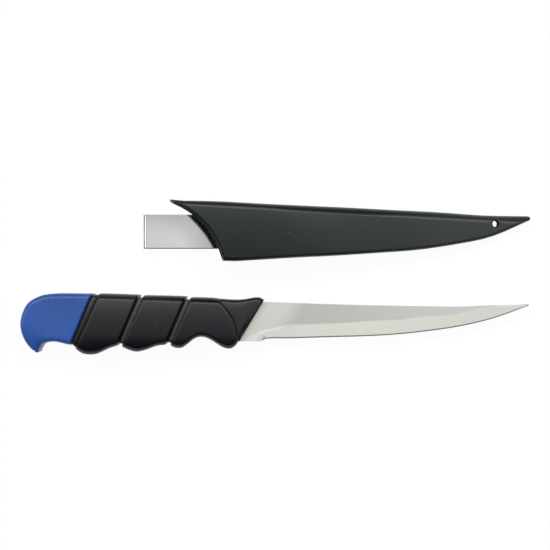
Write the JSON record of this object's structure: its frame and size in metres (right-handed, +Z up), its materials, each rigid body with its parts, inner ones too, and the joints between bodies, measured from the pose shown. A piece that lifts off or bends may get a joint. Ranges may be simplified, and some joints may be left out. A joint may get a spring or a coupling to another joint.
{
  "type": "fishing knife",
  "caption": "Fillet fishing knife with a blue hooked pommel and soft grip pads, laid beside its black hollow sheath, which has a folded steel belt clip on its back.",
  "frame": {"origin": "On the table, under the middle of the box round the knife and its sheath.", "axes": "+X runs from the pommel to the point of the blade, +Y runs from the cutting edge past the spine to the sheath, and +Z points up from the table."},
  "size_m": [0.2802, 0.0842, 0.0286],
  "materials": {
    "blade_steel": "satin, brushed along the blade",
    "hard_black": "satin with a fine grain",
    "soft_black": "soft touch, satin",
    "blue_plastic": "satin gloss",
    "sheath_black": "satin with a fine grain",
    "clip_steel": "polished, with fine lines along the strip"
  },
  "bodies": {
    "knife": {"blade": "blade_steel", "handle_core": "hard_black", "rear_pad": "soft_black", "middle_pad": "soft_black", "front_pad": "soft_black", "pommel": "blue_plastic"},
    "sheath": {"sheath_shell": "sheath_black", "belt_clip": "clip_steel"}
  },
  "joints": [
    {"name": "sheath_slide", "type": "slide", "parent": "knife", "child": "sheath", "axis": [1, 0, 0], "range_m": [0, 0.2]}
  ]
}
